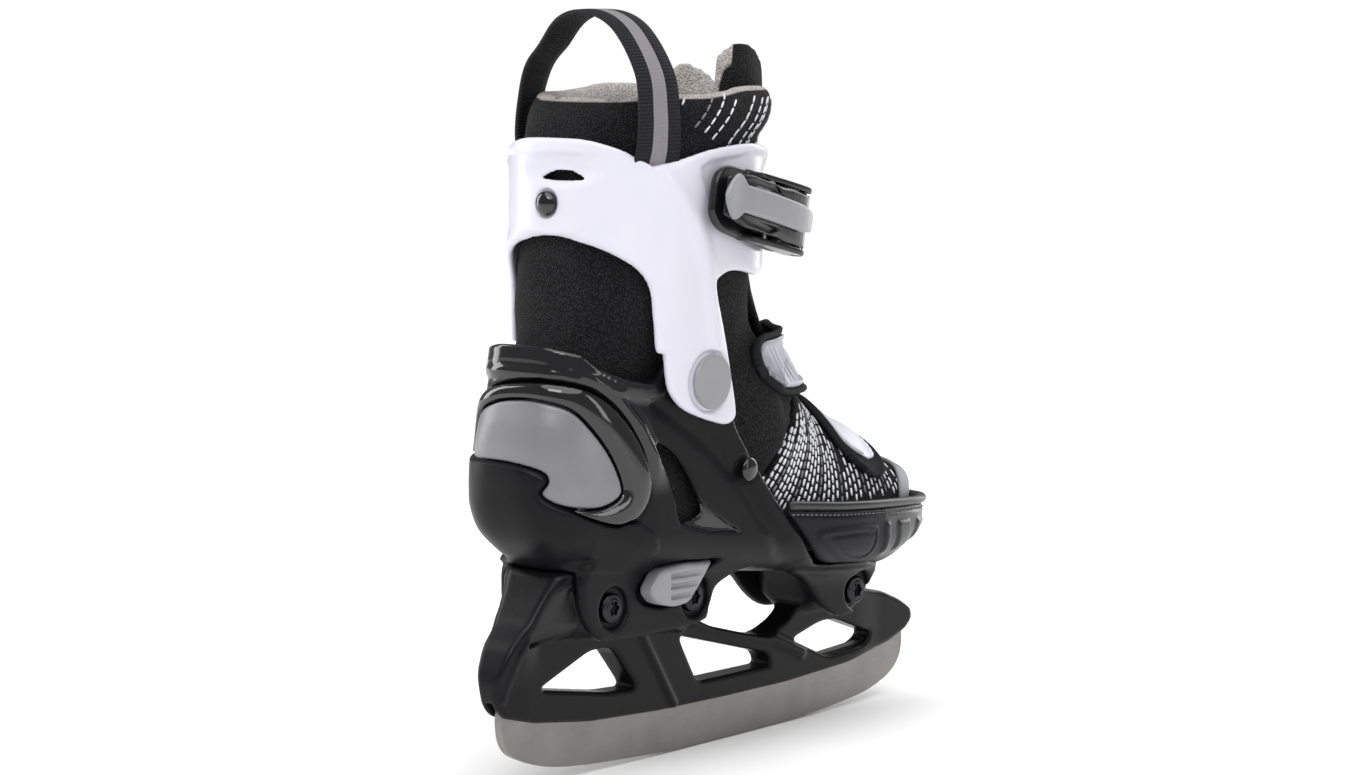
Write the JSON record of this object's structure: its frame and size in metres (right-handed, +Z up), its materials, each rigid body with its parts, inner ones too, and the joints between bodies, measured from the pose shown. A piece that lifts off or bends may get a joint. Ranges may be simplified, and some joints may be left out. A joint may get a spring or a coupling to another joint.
{
  "type": "ice skate",
  "caption": "Right-foot children's ice skate with a steel runner, truss holder, hinged cuff, ratchet buckle, straps and a toe that slides out to change size.",
  "frame": {"origin": "the middle of the blade's running edge, on its flat", "axes": "+X to the toe, +Y to the inner side of the foot, +Z up"},
  "size_m": [0.2581, 0.1055, 0.2864],
  "materials": {
    "steel": "ground steel, fine lengthwise grain",
    "fastener": "black oxide, satin",
    "chrome": "bright plated",
    "black_plastic": "fine moulded texture",
    "gloss_black": "polished",
    "white_plastic": "smooth gloss",
    "grey_satin": "satin silver-grey",
    "toe_rubber": "soft satin",
    "black_fabric": "coarse knit",
    "grey_fabric": "brushed",
    "strap_fabric": "ribbed webbing"
  },
  "bodies": {
    "boot": {"blade_runner": "steel", "blade_holder": "black_plastic", "holder_bolt_rear": "fastener", "holder_bolt_middle": "fastener", "holder_bolt_front": "fastener", "barrel_nut_rear": "fastener", "barrel_nut_middle": "fastener", "barrel_nut_front": "fastener", "shell": "black_plastic", "heel_insert": "grey_satin", "heel_gloss_frame": "gloss_black", "footbed": "grey_fabric", "foot_upper": "black_fabric", "tongue": "black_fabric", "wing_rivet_lateral": "fastener", "wing_rivet_medial": "fastener", "pivot_rivet_lateral": "fastener", "pivot_rivet_medial": "fastener", "button_spring": "chrome"},
    "toe": {"toe_cap": "toe_rubber", "toe_rim": "gloss_black", "slide_plate": "black_plastic", "forefoot_upper": "black_fabric", "toe_patch": "grey_fabric"},
    "button": {"size_button": "grey_satin"},
    "cuff": {"cuff": "white_plastic", "ankle_collar": "black_fabric", "tongue_top": "black_fabric", "rear_screw": "fastener", "pull_loop": "strap_fabric", "buckle_base": "black_plastic", "buckle_rivet": "fastener", "buckle_pin": "chrome", "pawl_pin": "chrome", "pawl_spring": "chrome", "ratchet_strap": "black_plastic", "strap_anchor": "fastener", "pivot_cap_lateral": "grey_satin", "pivot_cap_medial": "grey_satin"},
    "lever": {"buckle_lever": "black_plastic", "lever_cover": "grey_satin"},
    "pawl": {"buckle_pawl": "chrome"},
    "instep_strap": {"instep_strap": "strap_fabric", "instep_strap_tip": "grey_satin"},
    "toe_strap": {"toe_strap": "strap_fabric", "toe_strap_tip": "grey_satin"}
  },
  "joints": [
    {"name": "cuff_flex", "type": "hinge", "parent": "boot", "child": "cuff", "pos_m": [-0.051, 0, 0.149], "axis": [0, 1, 0], "range_deg": [-4, 10]},
    {"name": "toe_extend", "type": "slide", "parent": "boot", "child": "toe", "axis": [0.9928, 0, -0.1201], "range_m": [0, 0.02]},
    {"name": "size_button_press", "type": "slide", "parent": "boot", "child": "button", "axis": [0, 1, 0], "range_m": [0, 0.0025], "stiffness_N_per_m": 600, "deforming": ["button_spring"]},
    {"name": "buckle_lever_open", "type": "hinge", "parent": "cuff", "child": "lever", "pos_m": [-0.00726, -0.04697, 0.20644], "axis": [0.2401, 0.0295, 0.9703], "range_deg": [0, 70]},
    {"name": "pawl_release", "type": "hinge", "parent": "cuff", "child": "pawl", "pos_m": [-0.02953, -0.04875, 0.212], "axis": [0.2401, 0.0295, 0.9703], "range_deg": [0, 5], "stiffness_Nm_per_rad": 0.02},
    {"name": "instep_strap_open", "type": "hinge", "parent": "boot", "child": "instep_strap", "pos_m": [-0.011, 0.0341, 0.1481], "axis": [-0.6142, -0.058, 0.787], "range_deg": [0, 100]},
    {"name": "toe_strap_open", "type": "hinge", "parent": "toe", "child": "toe_strap", "pos_m": [0.0525, 0.0347, 0.1074], "axis": [-0.8168, -0.1526, 0.5564], "range_deg": [0, 100]}
  ]
}
